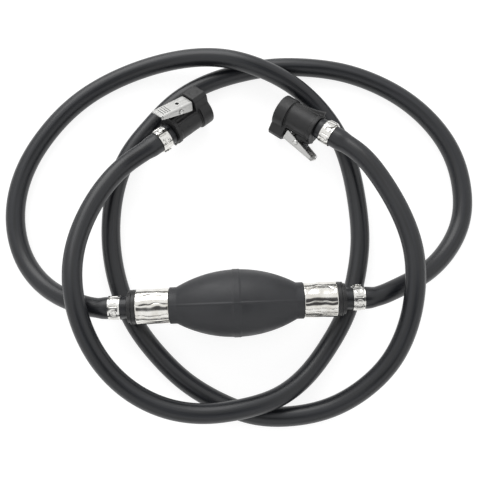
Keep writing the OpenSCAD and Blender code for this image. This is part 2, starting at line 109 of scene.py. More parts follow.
# The opening lies a little towards the near side of straight overhead
towards_opening = add_node(tent.node_tree, "ShaderNodeVectorMath", {0: direction.outputs["Generated"]},
                           operation="DOT_PRODUCT")
towards_opening.inputs[1].default_value = (0.12, -0.30, 0.947)
opening = add_node(tent.node_tree, "ShaderNodeValToRGB", {"Fac": towards_opening.outputs["Value"]})
set_ramp(opening, [
    (0.0, linear("#ffffff")), (0.90, linear("#ffffff")), (0.955, linear("#5c5c5e")), (1.0, linear("#4a4a4c")),
])
sky = add_node(tent.node_tree, "ShaderNodeBackground", {"Color": opening.outputs["Color"], "Strength": 1.0})
add_node(tent.node_tree, "ShaderNodeOutputWorld", {"Surface": sky.outputs["Background"]})
bpy.context.scene.world = tent

# One large soft panel behind the line, so its far sides are lighter than its near ones
panel = bpy.data.objects.new("soft_panel", bpy.data.lights.new("soft_panel", "AREA"))
panel.data.size = 1.0
panel.data.energy = 8
panel.location = (-0.3, 1.0, 0.75)
panel.rotation_euler = (-panel.location).to_track_quat("-Z", "Y").to_euler()
bpy.context.scene.collection.objects.link(panel)

# Painted white board: even and matte, with a glow of its own that keeps the shadows faint
board = bpy.data.materials.new("white_board")
board.use_nodes = True
board_skin = board.node_tree.nodes["Principled BSDF"]
board_skin.inputs["Base Color"].default_value = linear("#8f8f8f")
board_skin.inputs["Roughness"].default_value = 0.9
board_skin.inputs["Emission Color"].default_value = linear("#ffffff")
board_skin.inputs["Emission Strength"].default_value = 0.84
table_half = 40
table_mesh = bpy.data.meshes.new("table")
table_mesh.from_pydata(
    [(-table_half, -table_half, 0), (table_half, -table_half, 0),
     (table_half, table_half, 0), (-table_half, table_half, 0)], [], [(0, 1, 2, 3)])
table_mesh.materials.append(board)
table = bpy.data.objects.new("table", table_mesh)
bpy.context.scene.collection.objects.link(table)

# Low black flags stand in a ring round the table. The bright metal mirrors them as dark lines, and the
# camera itself doesn't see them.
flag_count = 72
flag_away = 1.6
flag_low = 0.1
flag_high = 0.26
flag_black = bpy.data.materials.new("flag_black")
flag_black.use_nodes = True
flag_black.node_tree.nodes["Principled BSDF"].inputs["Base Color"].default_value = linear("#1c1c1c")
flag_turn = np.linspace(0, 2 * np.pi, flag_count + 1)
flag_rows = [np.stack([flag_away * np.cos(flag_turn), flag_away * np.sin(flag_turn),
                       np.full(flag_turn.shape, level)], axis=1) for level in (flag_low, flag_high)]
flag_corner = np.arange(flag_count)
flag_over = flag_corner + flag_count + 1
flag_mesh = bpy.data.meshes.new("flags")
flag_mesh.from_pydata(np.vstack(flag_rows), [], np.stack(
    [flag_corner, flag_corner + 1, flag_over + 1, flag_over], axis=1).tolist())
flag_mesh.materials.append(flag_black)
flags = bpy.data.objects.new("flags", flag_mesh)
flags.visible_camera = False
bpy.context.scene.collection.objects.link(flags)

# ---- Hoses ----
# Two lengths of 8 mm fuel hose, extruded nitrile rubber over a textile braid, pushed over barbs at
# both ends, where they swell. They lie in loose loops on the table and over each other.

# These lists repeat the routes that the model of the construction gives, in millimetres
tank_route = [
    (-114, -65, 23.5), (-136, -53, 15.5), (-154, -33, 9), (-163, -8, 7), (-163, 19, 7),
    (-155, 45, 7), (-141, 68, 7), (-123, 88, 7), (-101, 104, 7), (-76, 115, 8.5),
    (-50, 121, 12), (-23, 122, 17), (3, 117, 22), (28, 108, 21), (52, 96, 13.5),
    (71, 78, 8), (84, 55, 7), (91, 29, 7), (94, 2, 7), (94, -25, 7), (89, -52, 7),
    (80, -78, 7), (66, -101, 7), (49, -121, 10), (27, -136, 17), (1, -143, 22),
    (-26, -145, 23.5), (-52, -140, 25), (-76, -127, 27), (-94, -108, 32), (-106, -84, 38),
    (-112, -58, 41), (-112, -31, 38), (-105, -5, 33), (-93, 18, 28), (-75, 38, 24),
]
engine_route = [
    (114, -64, 22.5), (137, -53, 16), (157, -36, 10), (171, -12, 7), (174, 15, 7),
    (169, 41, 7), (156, 65, 7), (137, 85, 7), (114, 100, 7), (89, 110, 7), (62, 115, 7),
    (35, 116, 7), (8, 112, 7), (-18, 104, 7), (-42, 90, 7), (-61, 71, 7), (-78, 49, 7),
    (-88, 24, 7), (-92, -3, 7), (-91, -30, 7), (-85, -57, 7), (-74, -82, 7),
    (-58, -104, 7), (-39, -123, 7), (-16, -138, 7), (9, -148, 7.5), (36, -150, 9.5),
    (63, -145, 13.5), (86, -133, 20), (105, -115, 27), (117, -92, 35), (123, -66, 41),
    (124, -39, 41), (118, -12, 39), (108, 12, 36), (94, 34, 33),
]
hose_d = 14
hose_swell = 0.8
hose_step = 2.0
hose_sides = 40
bulb_barb = 16
body_barb = 19
body_len = 33
# Half the depth of each of a connector's two sockets
fuel_mid = 7.5
guide_mid = 6

low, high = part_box("primer_bulb")
bulb_at = (np.array(low) + np.array(high)) / 2 / MM
flange_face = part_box("outlet_valve_body")[1][0] / MM - bulb_barb
up = np.array([0.0, 0.0, 1.0])
along_bulb = np.array([1.0, 0.0, 0.0])


def unit(vectors):
    """Each vector divided by its length."""
    return vectors / np.linalg.norm(vectors, axis=-1, keepdims=True)


def socket_seat(side):
    """A connector's own frame, from its two sockets in the record: the middle of its mouth, the
    direction across it, the direction of its guide block and the direction out of the mouth."""
    mounts = {mount["name"]: mount for mount in record["mounts"]}
    fuel = mounts[side + "_fuel_socket"]
    guide = mounts[side + "_guide_socket"]
    out = unit(np.array(fuel["axis"]))
    mouth = np.array(fuel["pos_m"]) / MM + out * fuel_mid
    block = unit(np.array(guide["pos_m"]) / MM - (mouth - out * guide_mid))
    return mouth, np.cross(block, out), block, out


tank_seat = socket_seat("tank")
engine_seat = socket_seat("engine")


def smooth_line(knots, first, last, spacing):
    """Curve through the knots, made of cubic pieces. Their slopes at the knots come from the equations
    that keep the curvature continuous, with the directions first and last at the ends. It is cut into
    even steps of about the given spacing."""
    span = np.linalg.norm(np.diff(knots, axis=0), axis=1)
    chord = np.diff(knots, axis=0) / span[:, None]
    middle = np.concatenate([[1], 2 * (span[:-1] + span[1:]), [1]])
    before = np.append(span[1:], 0)
    after = np.insert(span[:-1], 0, 0)
    pull = 3 * (span[1:, None] * chord[:-1] + span[:-1, None] * chord[1:])
    system = np.diag(middle) + np.diag(before, -1) + np.diag(after, 1)
    slope = np.linalg.solve(system, np.vstack([first, pull, last]))
    at = np.concatenate([[0], np.cumsum(span)])
    fine = np.linspace(0, at[-1], 40 * len(knots))
    piece = np.clip(np.searchsorted(at, fine) - 1, 0, len(span) - 1)
    t = ((fine - at[piece]) / span[piece])[:, None]
    width = span[piece][:, None]
    points = ((1 + 2 * t) * (1 - t) ** 2 * knots[piece] + t * (1 - t) ** 2 * width * slope[piece]
              + t ** 2 * (3 - 2 * t) * knots[piece + 1] + t ** 2 * (t - 1) * width * slope[piece + 1])
    run = np.concatenate([[0], np.cumsum(np.linalg.norm(np.diff(points, axis=0), axis=1))])
    even = np.linspace(0, run[-1], int(run[-1] / spacing) + 1)
    return np.stack([np.interp(even, run, points[:, i]) for i in range(3)], axis=1)


def carried(path, radius, sides):
    """Round tube along a path: each point is the path's point plus its radius times the unit circle in
    the plane square to the path. Its ends are left open for the caller to close."""
    ahead = unit(np.gradient(path, axis=0))
    side = unit(np.cross(up, ahead))
    over = np.cross(ahead, side)
    turn = np.linspace(0, 2 * np.pi, sides + 1)
    ring = np.cos(turn)[None, :, None] * side[:, None] + np.sin(turn)[None, :, None] * over[:, None]
    return path[:, None] + radius[:, None, None] * ring


def add_surface(name, grids, finish, body="root", sharp=35, lay=None):
    """One object from grids of points in millimetres, each (rows, columns, 3), with a face between each
    four neighbours. Points that meet are merged, so closed grids need no more, and the faces are turned
    outwards. lay is a pattern's own coordinates, one for each point of a single grid."""
    points = np.concatenate([grid.reshape(-1, 3) for grid in grids]) * MM
    faces = []
    start = 0
    for grid in grids:
        rows, columns = grid.shape[:2]
        corner = start + np.arange(rows * columns).reshape(rows, columns)
        quads = np.stack([corner[:-1, :-1], corner[:-1, 1:], corner[1:, 1:], corner[1:, :-1]], axis=-1)
        faces.append(quads.reshape(-1, 4))
        start += rows * columns
    mesh = bpy.data.meshes.new(name)
    mesh.from_pydata(points, [], np.concatenate(faces).tolist())
    if lay is not None:
        mesh.attributes.new("lay", "FLOAT_VECTOR", "POINT").data.foreach_set("vector", lay.ravel() * MM)
    shell = bmesh.new()
    shell.from_mesh(mesh)
    bmesh.ops.remove_doubles(shell, verts=shell.verts, dist=0.002 * MM)
    bmesh.ops.recalc_face_normals(shell, faces=shell.faces)
    shell.to_mesh(mesh)
    shell.free()
    return add_piece(name, mesh, finish, body, sharp)


def add_piece(name, mesh, finish, body, sharp):
    """Puts a finished mesh into the scene, smooth but for edges sharper than an angle in degrees."""
    mesh.materials.clear()
    mesh.materials.append(finish)
    mesh.shade_smooth()
    mesh.set_sharp_from_angle(angle=np.radians(sharp))
    piece = bpy.data.objects.new(name, mesh)
    bpy.context.scene.collection.objects.link(piece)
    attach(piece, body)
    return piece


def finish_of(name, dark, light, rough, patch, grain, relief, stretch=(1, 1, 1), lay=False, metallic=0.0):
    """Surface whose colour runs between two tones and whose roughness between two values over patches
    of one size, with a fine relief of a smaller grain. Sizes are in millimetres. stretch above 1 packs
    the pattern closer along that axis, and lay takes the piece's own coordinates."""
    material = bpy.data.materials.new(name)
    material.use_nodes = True
    tree = material.node_tree
    skin = tree.nodes["Principled BSDF"]
    skin.inputs["Metallic"].default_value = metallic
    if lay:
        place = add_node(tree, "ShaderNodeAttribute", attribute_name="lay").outputs["Vector"]
    else:
        place = add_node(tree, "ShaderNodeTexCoord").outputs["Object"]
    scaled = add_node(tree, "ShaderNodeMapping", {"Vector": place, "Scale": stretch}).outputs["Vector"]
    cloud = add_node(tree, "ShaderNodeTexNoise", {"Vector": scaled, "Scale": 1 / (patch * MM), "Detail": 4})
    tone = add_node(tree, "ShaderNodeValToRGB", {"Fac": cloud.outputs["Fac"]})
    set_ramp(tone, [(0.35, linear(dark)), (0.65, linear(light))])
    gloss = add_node(tree, "ShaderNodeMapRange", {
        "Value": cloud.outputs["Fac"], "From Min": 0.35, "From Max": 0.65,
        "To Min": rough[0], "To Max": rough[1]})
    speck = add_node(tree, "ShaderNodeTexNoise", {"Vector": scaled, "Scale": 1 / (grain * MM), "Detail": 2})
    bump = add_node(tree, "ShaderNodeBump", {
        "Height": speck.outputs["Fac"], "Distance": relief * MM, "Strength": 1.0})
    tree.links.new(tone.outputs["Color"], skin.inputs["Base Color"])
    tree.links.new(gloss.outputs["Result"], skin.inputs["Roughness"])
    tree.links.new(bump.outputs["Normal"], skin.inputs["Normal"])
    return material


# Extruded nitrile rubber: near black with a soft sheen, drawn out in faint streaks along the hose
nitrile = finish_of("extruded_nitrile_rubber", "#0e1013", "#1b1d22", (0.3, 0.42), 1.6, 0.7, 0.06,
                    stretch=(1, 1, 0.03), lay=True)
nitrile.node_tree.nodes["Principled BSDF"].inputs["IOR"].default_value = 1.52


def add_hose(name, node, exit_side, route, seat):
    """A hose from the bulb's barb along its route to the connector's barb. Its radius is the plain one,
    plus the swell over each barb, less a pinch under each clamp, with a quarter circle at each end."""
    mouth, _, _, out = seat
    away = exit_side * along_bulb
    start = bulb_at + away * flange_face
    finish = mouth - out * body_len
    knots = np.vstack([start + away * bulb_barb, np.array(route), finish - out * body_barb])
    line = smooth_line(knots, away, out, hose_step)
    lip = 0.6
    stations = np.concatenate([[0, lip / 6, lip / 2, lip], np.arange(1.2, bulb_barb - 0.5, 0.9)])
    first = start + stations[:, None] * away
    last = finish - stations[::-1, None] * (body_barb / bulb_barb) * out
    path = np.vstack([first, line, last])
    path[:, 2] = np.maximum(path[:, 2], hose_d / 2)
    run = np.concatenate([[0], np.cumsum(np.linalg.norm(np.diff(path, axis=0), axis=1))])
    taper = 7
    clamp_mid = 9.3
    pinch = 0.35
    pinch_half = 3
    radius = np.full(len(path), hose_d / 2)
    for from_end, barb in ((run, bulb_barb), (run[-1] - run, body_barb)):
        fade = np.clip((barb + taper - from_end) / taper, 0, 1)
        radius += hose_swell * fade ** 2 * (3 - 2 * fade)
        radius -= pinch * np.exp(-((from_end - clamp_mid) / pinch_half) ** 4)
        edge = 1 - np.clip(from_end / lip, 0, 1)
        radius -= lip * (1 - np.sqrt(1 - edge ** 2))
    grid = carried(path, radius, hose_sides)
    turn = np.linspace(0, 2 * np.pi, hose_sides + 1)
    around = np.stack([np.cos(turn), np.sin(turn)], axis=1) * hose_d / 2
    lay = np.concatenate([np.broadcast_to(around, (len(path), *around.shape)),
                          np.broadcast_to(run[:, None, None], (len(path), len(turn), 1))], axis=2)
    caps = [np.stack([np.broadcast_to(path[i], grid[i].shape), grid[i]]) for i in (0, -1)]
    cap_lay = [np.stack([lay[i], lay[i]]).reshape(-1, 3) for i in (0, -1)]
    hose = add_surface(name, [caps[0], grid, caps[1]], nitrile,
                       lay=np.concatenate([cap_lay[0], lay.reshape(-1, 3), cap_lay[1]]))
    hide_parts(node)


add_hose("hose_to_tank", "tank_hose", -1, tank_route, tank_seat)
add_hose("hose_to_engine", "engine_hose", 1, engine_route, engine_seat)

# ---- Primer bulb ----
# A hollow bulb of moulded nitrile rubber that is squeezed by hand. The mould leaves a parting ridge
# along the top and the bottom, and a low band round the middle. Its necks go under the sleeves.

collar_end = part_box("outlet_sleeve")[0][0] / MM
neck_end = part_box("outlet_sleeve")[1][0] / MM
collar_len = 6
barrel_half = collar_end - collar_len
barrel_end_r = 13.5
bulb_r = 23.8
bulb_wall = 3
collar_r = 12.9
neck_r = 11.7
plug_hole_r = 8.6
band_half = 2.5
band_rise = 0.3
ridge_rise = 0.5
ridge_half = 0.75
ridge_tilt = np.radians(6)
groove_at = 1.7
groove_half = 0.5
groove_depth = 0.2
band_edge = 0.12
band_rim = 0.3
band_rim_rise = 0.12
bulb_sides = 360


def placed(points, origin, x_axis, z_axis):
    """Points drawn about an origin with z along one direction and x along another, put in the scene."""
    frame_axes = np.stack([x_axis, np.cross(z_axis, x_axis), z_axis])
    return origin + points @ frame_axes


def turned(profile, sides, closed=False):
    """Profile turned about the z axis: each row of the profile, (height, radius), becomes a ring of
    points (radius cos a, radius sin a, height). A closed profile comes back to its first row."""
    rows = np.vstack([profile, profile[:1]]) if closed else profile
    turn = np.linspace(0, 2 * np.pi, sides + 1)
    height = np.broadcast_to(rows[:, :1], (len(rows), sides + 1))
    return np.stack([rows[:, 1:] * np.cos(turn), rows[:, 1:] * np.sin(turn), height], axis=2)


def eased(profile, radius, closed=False):
    """Profile with each corner replaced by a parabola that starts and ends one radius away from it, or
    at 0.45 of a shorter side. The ends of an open profile stay."""
    corner = np.asarray(profile, dtype=float)
    back = np.roll(corner, 1, axis=0) - corner
    on = np.roll(corner, -1, axis=0) - corner
    reach_back = np.minimum(radius, 0.45 * np.linalg.norm(back, axis=1, keepdims=True))
    reach_on = np.minimum(radius, 0.45 * np.linalg.norm(on, axis=1, keepdims=True))
    enter = corner + reach_back * unit(back)
    leave = corner + reach_on * unit(on)
    t = np.linspace(0, 1, 5)[None, :, None]
    bends = (1 - t) ** 2 * enter[:, None] + 2 * t * (1 - t) * corner[:, None] + t ** 2 * leave[:, None]
    if closed:
        return bends.reshape(-1, 2)
    return np.vstack([corner[:1], bends[1:-1].reshape(-1, 2), corner[-1:]])


def belly(x, crown):
    """Radius of the bulge at a distance x from its middle: an arc through its crown and both ends."""
    drop = bulb_r - barrel_end_r
    arc = (barrel_half ** 2 + drop ** 2) / (2 * drop)
    return crown - arc + np.sqrt(arc ** 2 - x ** 2)


# Moulded nitrile rubber: charcoal and matte, faintly mottled, with a fine texture from the mould
bulb_rubber = finish_of("moulded_nitrile_rubber", "#222326", "#292a2d", (0.46, 0.58), 9, 0.35, 0.04)
bulb_rubber.node_tree.nodes["Principled BSDF"].inputs["IOR"].default_value = 1.52

x = np.linspace(-barrel_half, barrel_half, 121)
collar_in = [(-neck_end, plug_hole_r), (-neck_end, neck_r), (-collar_end, neck_r),
             (-collar_end, collar_r), (-barrel_half - 1.2, collar_r)]
collar_half = eased(collar_in, 0.5)
outer = np.vstack([collar_half, np.stack([x, belly(x, bulb_r)], axis=1),
                   collar_half[::-1] * (-1, 1)])
x_in = np.linspace(barrel_half - 1, 1 - barrel_half, 41)
inner = np.stack([x_in, belly(x_in, bulb_r - bulb_wall)], axis=1)
inner = np.vstack([[(barrel_half, plug_hole_r)], inner, [(-barrel_half, plug_hole_r)]])
bulb_grid = turned(np.vstack([outer, inner]), bulb_sides, closed=True)
profile = np.vstack([outer, inner, outer[:1]])
turn = np.linspace(0, 2 * np.pi, bulb_sides + 1)[None]
from_middle = np.abs(profile[:, :1])
from_ridge = np.abs(np.sin(turn - ridge_tilt)) * profile[:, 1:]
ridge = ridge_rise * np.exp(-(from_ridge / ridge_half) ** 2)
ridge = ridge - groove_depth * np.exp(-((from_ridge - groove_at) / groove_half) ** 2)
band = band_rise / (1 + np.exp((from_middle - band_half) / band_edge))
band = band + band_rim_rise * np.exp(-((from_middle - band_half + band_rim) / band_rim) ** 2)
on_skin = (np.arange(len(profile)) < len(outer))[:, None] * (from_middle < barrel_half + 4)
ridge_end = np.clip((barrel_half + 3 - from_middle) / 4, 0, 1)
lift = np.maximum(ridge * ridge_end, band) * on_skin
bulb_grid[..., 0] += lift * np.cos(turn)
bulb_grid[..., 1] += lift * np.sin(turn)
bulb = add_surface("squeeze_bulb", [placed(bulb_grid, bulb_at, up, along_bulb)], bulb_rubber, sharp=50)
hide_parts("primer_bulb")

# ---- Check valve bodies ----
# A turned black plug holds each check valve in the bulb's neck. Its flange closes the sleeve, and
# its barb takes the hose. The flange has a stepped rim with a groove round it.

flange_r = 12.2
step_r = 11
chamber_r = 6.5
passage_r = 2.8
barb_r = 4.3
barb_rise = 0.6
barb_slope = 3.2
flange_len = 4.2
groove_from = 2.6
groove_to = 3.1
plug_r = 8.5
plug_mouth = neck_end - 26
chamber_floor = neck_end - 3

# Black acetal, machined and tumbled: dark with a dull sheen and the finest unevenness
acetal = finish_of("turned_black_acetal", "#1b1b1c", "#262627", (0.36, 0.48), 3, 0.25, 0.03)

ridges = flange_face + bulb_barb * np.array([0.25, 0.5, 0.75])
barb_line = [(ridge_at + d, barb_r + r) for ridge_at in ridges
             for d, r in ((0, 0), (0.05, barb_rise), (barb_slope, 0))]
valve_line = [
    (plug_mouth, chamber_r), (plug_mouth, plug_r), (neck_end, plug_r), (neck_end, flange_r),
    (neck_end + groove_from, flange_r), (neck_end + groove_from, flange_r - 0.5),
    (neck_end + groove_to, flange_r - 0.5), (neck_end + groove_to, flange_r - 0.1),
    (neck_end + flange_len, flange_r - 0.1), (neck_end + flange_len, step_r),
    (flange_face, step_r), (flange_face, barb_r), *barb_line, (flange_face + bulb_barb, barb_r),
    (flange_face + bulb_barb, passage_r), (chamber_floor, passage_r), (chamber_floor, chamber_r),
]
for name, node, away in (("inlet_valve_plug", "inlet_valve_body", -along_bulb),
                         ("outlet_valve_plug", "outlet_valve_body", along_bulb)):
    grid = turned(eased(valve_line, 0.3, closed=True), 96, closed=True)
    plug = add_surface(name, [placed(grid, bulb_at, up, away)], acetal)
    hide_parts(node)

# ---- Crimped sleeves ----
# Thin bright steel tubes crimped round the bulb's necks. The crimping presses them into long uneven
# flats with wavy creases between, and the polished metal mirrors the tent in broken bands.

sleeve_r = 12.5
sleeve_wall = 0.7
crease_count = 9
crease_depth = 0.42
dent_depth = 0.12
rim_depth = 0.3
rim_len = 0.25
sleeve_sides = 360

# Polished nickel-plated steel: a clear mirror, a little warm, clouded here and there by handling
bright_steel = finish_of("polished_plated_steel", "#d9d6cf", "#efeeea", (0.05, 0.16), 5, 1.5, 0.02,
                         metallic=1.0)


def wrinkled(x, turn, seed):
    """How far a crimped sleeve's skin lies inside its round shape. Between creases it is nearly flat,
    by the power of a sine of the angle; the creases wander with x, and slow waves add shallow dents."""
    draw = np.random.default_rng(seed)
    phase = draw.uniform(0, 2 * np.pi, 6)
    wander = 0.07 * np.sin(x / 3.1 + phase[0] + 3 * np.sin(turn + phase[1]))
    wander = wander + 0.03 * np.sin(x / 1.3 + phase[2] + 2 * turn)
    uneven = 0.16 * np.sin(2 * turn + phase[3]) + 0.12 * np.sin(3 * turn + phase[4])
    pleat = np.abs(np.sin(crease_count / 2 * (turn + uneven + wander))) ** 0.45
    dent = np.sin(x / 2.7 + phase[5] + 4 * turn) * np.sin(3 * turn + x / 5 + phase[1])
    return crease_depth * (1 - pleat) + dent_depth * (0.5 + 0.5 * dent)


for name, node, away, seed in (("inlet_crimped_sleeve", "inlet_sleeve", -along_bulb, 4),
                               ("outlet_crimped_sleeve", "outlet_sleeve", along_bulb, 9)):
    x = np.linspace(collar_end + 0.15, neck_end - 0.1, 90)[:, None]
    turn = np.linspace(0, 2 * np.pi, sleeve_sides + 1)[None]
    from_rim = np.minimum(x - x[0], x[-1] - x)
    rim = rim_depth * np.exp(-from_rim / rim_len)
    outer_r = sleeve_r - rim - wrinkled(x, turn, seed) * (1 - np.exp(-from_rim / 0.8) * 0.6)
    inner_r = np.broadcast_to(sleeve_r - sleeve_wall - 0.02, (len(x), sleeve_sides + 1))
    radius = np.vstack([outer_r, np.minimum(inner_r, outer_r - 0.12)[::-1], outer_r[:1]])
    heights = np.broadcast_to(np.vstack([x, x[::-1], x[:1]]), radius.shape)
    grid = np.stack([radius * np.cos(turn), radius * np.sin(turn), heights], axis=2)
    sleeve = add_surface(name, [placed(grid, bulb_at, up, away)], bright_steel, sharp=60)
    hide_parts(node)

# ---- Hose clamps ----
# Stainless bands drawn tight over the swollen hose, with pressed ovals and slots along them. The
# band's end is folded back over it as a tongue with a round tip.

clamp_w = 8.2
clamp_t = 0.8
clamp_in = 5.2
clamp_inner_r = 7.9
mark_count = 6
oval_rise = 0.22
press_depth = 0.5
tongue_half = 2.9
tongue_t = 0.55
tongue_reach = np.radians(80)
tip_from = 0.8

# Rolled stainless strip: bright and faintly clouded
stainless = finish_of("rolled_stainless_strip", "#dcdbd7", "#e8e7e3", (0.12, 0.2), 4, 0.5, 0.01,
                      metallic=1.0)


def pressed_marks(turn, across):
    """How far the clamp's skin stands out of its round shape: rolled edges, ovals pressed outwards with
    sunk hearts, and slots pressed inwards between them, each a smooth step at its outline."""
    pitch = 2 * np.pi / mark_count
    arc = (np.mod(turn, pitch) - pitch / 2) * clamp_inner_r
    oval = np.sqrt((arc / 2.3) ** 2 + (across / 2.7) ** 2)
    heart = np.sqrt((arc / 1.1) ** 2 + (across / 1.6) ** 2)
    gap = np.abs(arc) - (pitch * clamp_inner_r / 2)
    slot = np.exp(-(gap / 0.3) ** 2) / (1 + np.exp((np.abs(across) - 2.6) / 0.12))
    edge = np.exp(-((np.abs(across) - clamp_w / 2) / 0.5) ** 2)
    return (oval_rise / (1 + np.exp((oval - 1) / 0.06)) - press_depth / (1 + np.exp((heart - 1) / 0.08))
            - press_depth * slot + 0.1 * edge)


def add_clamp(name, node, origin, x_axis, z_axis, tongue_from):
    """A clamp round a hose end, which starts at its inset from the origin along z."""
    rows = 42
    columns = 420
    across = np.linspace(-clamp_w / 2, clamp_w / 2, rows)[:, None]
    turn = np.linspace(0, 2 * np.pi, columns + 1)[None]
    skin = clamp_inner_r + clamp_t - 0.25 + pressed_marks(turn, across)
    under = np.broadcast_to(clamp_inner_r, skin.shape)
    radius = np.vstack([skin, under[::-1], skin[:1]])
    height = np.vstack([across, across[::-1], across[:1]]) + clamp_in + clamp_w / 2
    height = np.broadcast_to(height, radius.shape)
    ring = np.stack([radius * np.cos(turn), radius * np.sin(turn), height], axis=2)
    t = np.linspace(0, 1, 90)[None]
    u = np.linspace(-1, 1, 25)[:, None]
    tip = np.sqrt(np.clip(1 - (np.clip(t - tip_from, 0, 1) / 0.2) ** 2, 0, 1))
    half = tongue_half * np.maximum(tip, 0.02)
    angle = tongue_from + tongue_reach * t + 0 * u
    base = clamp_inner_r + clamp_t + 0.05 + 0.35 * t ** 3 + 0.15 * (1 - u ** 4) + 0 * u
    layers = [np.stack([(base + d) * np.cos(angle), (base + d) * np.sin(angle),
                        u * half + clamp_in + clamp_w / 2], axis=2) for d in (0.0, tongue_t)]
    walls = [np.stack([layers[0][i], layers[1][i]]) for i in (0, -1)]
    ends = [np.stack([layers[0][:, i], layers[1][:, i]]) for i in (0, -1)]
    grids = [placed(grid, origin, x_axis, z_axis) for grid in (ring, *layers, *walls, *ends)]
    clamp = add_surface(name, grids, stainless, sharp=40)
    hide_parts(node)


for name, node, away, tongue_from in (("inlet_band_clamp", "bulb_inlet_clamp", -along_bulb, 120),
                                      ("outlet_band_clamp", "bulb_outlet_clamp", along_bulb, 200)):
    add_clamp(name, node, bulb_at + away * flange_face, up, away, np.radians(tongue_from))
for name, node, seat, tongue_from in (("tank_band_clamp", "tank_hose_clamp", tank_seat, 60),
                                      ("engine_band_clamp", "engine_hose_clamp", engine_seat, 60)):
    mouth, across, _, out = seat
    add_clamp(name, node, mouth - out * body_len, across, -out, np.radians(tongue_from))

# ---- Connector bodies ----
# Moulded bodies of glass-filled nylon: a round collar at the mouth, a block above it that takes the
# engine's guide pin, a barrel, a rib that carries the lever, and a fin below. Every edge of the
# moulding has a small radius, and ejector pins leave faint rings.

body_voxel = 0.33
body_smoothing = 5
mark_y = 21.4
mark_back = 6
mark_r = 3.4
mark_half = 0.3
mark_depth = 0.22
seam_half = 0.3
seam_depth = 0.3
seam_back = 9.75
saddle_x = 7.5
saddle_y = 9.3
saddle_back = 12
saddle_half = 0.3
saddle_depth = 0.25

# Moulded glass-filled nylon: dark grey-black, matte, with a fine uneven bloom of fibres
nylon = finish_of("moulded_glass_filled_nylon", "#121213", "#1b1b1c", (0.38, 0.52), 4, 0.4, 0.05)


def local(points, seat):
    """Points of the scene in a connector's own frame: across, towards the block, out of the mouth."""
    mouth, across, block, out = seat
    return (points - mouth) @ np.stack([across, block, out]).T


def from_local(points, seat):
    """Points of a connector's own frame in the scene."""
    mouth, across, block, out = seat
    return mouth + points @ np.stack([across, block, out])


def vertices_of(mesh):
    """A mesh's points as an array, in millimetres."""
    flat = np.empty(3 * len(mesh.vertices))
    mesh.vertices.foreach_get("co", flat)
    return flat.reshape(-1, 3) / MM


def add_body(name, node, seat):
    """The connector's construction with its edges rounded: a merged copy is cut into even small faces
    and smoothed, then a seam, the saddle's line and an ejector mark are pressed into it."""
    mesh = nodes[node].data.copy()
    mesh.vertices.foreach_set("co", (local(vertices_of(mesh), seat) * MM).ravel())
    shell = bmesh.new()
    shell.from_mesh(mesh)
    bmesh.ops.remove_doubles(shell, verts=shell.verts, dist=0.001 * MM)
    shell.to_mesh(mesh)
    shell.free()
    blank = bpy.data.objects.new(name + "_blank", mesh)
    bpy.context.scene.collection.objects.link(blank)
    remesh = blank.modifiers.new("even_faces", "REMESH")
    remesh.mode = "VOXEL"
    remesh.voxel_size = body_voxel * MM
    smooth = blank.modifiers.new("moulded_radii", "SMOOTH")
    smooth.factor = 0.5
    smooth.iterations = body_smoothing
    graph = bpy.context.evaluated_depsgraph_get()
    rounded = bpy.data.meshes.new_from_object(blank.evaluated_get(graph))
    bpy.data.objects.remove(blank)
    points = vertices_of(rounded)
    flat = np.empty(3 * len(rounded.vertices))
    rounded.vertices.foreach_get("normal", flat)
    facing = flat.reshape(-1, 3)
    x, y, z = points.T
    from_axis = np.sqrt(x ** 2 + (z + mark_back) ** 2)
    on_top = (y > mark_y - 0.8) & (facing[:, 1] > 0.9)
    ring = mark_depth * np.exp(-((from_axis - mark_r) / mark_half) ** 2) * on_top
    outside = (np.sqrt(x ** 2 + (y - 2) ** 2) > 8.5) & (y < 15)
    seam = seam_depth * np.exp(-((z + seam_back) / seam_half) ** 2) * outside
    on_saddle = (np.abs(x) > saddle_x - 0.6) & (z < -saddle_back) & (y > 8)
    step = saddle_depth * np.exp(-((y - saddle_y) / saddle_half) ** 2) * on_saddle
    points = points - (ring + seam + step)[:, None] * facing
    rounded.vertices.foreach_set("co", (from_local(points, seat) * MM).ravel())
    rounded.update()
    body = add_piece(name, rounded, nylon, "root", 80)
    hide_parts(node)


add_body("tank_moulded_body", "tank_connector_body", tank_seat)
add_body("engine_moulded_body", "engine_connector_body", engine_seat)

# ---- Latch levers ----
# Each lever is a stainless blank, pierced, ribbed for grip near the thumb end, and folded into a
# channel. It rocks on a pin through the body's rib, and its nose tongue drops behind the guide pin.

lever_w = 12
lever_t = 1.1
lever_front = 10.5
lever_rear = 18
lever_rise = 3.9
lever_skirt = 3.9
thumb_depth = 2.7
lever_open = np.radians(9)
pivot_y = 17.4
pivot_z = -23.7
hole_r = 1.45
hole_ahead = 1.0
slit_at = 16.6
slit_half = 0.3
grip_lines = (8.2, 10.2, 12.2, 14.2)
grip_deep = 0.18
grip_half = 4.2
grip_sharp = 0.34
tongue_w = 4.4
tongue_low = 1.5

# Satin stainless sheet: bright and a little soft, with rolling lines along the lever
satin_steel = finish_of("satin_stainless_sheet", "#bfbfbd", "#cacac8", (0.34, 0.4), 1.2, 0.3, 0.012,
                        stretch=(1, 1, 0.08), lay=True, metallic=1.0)
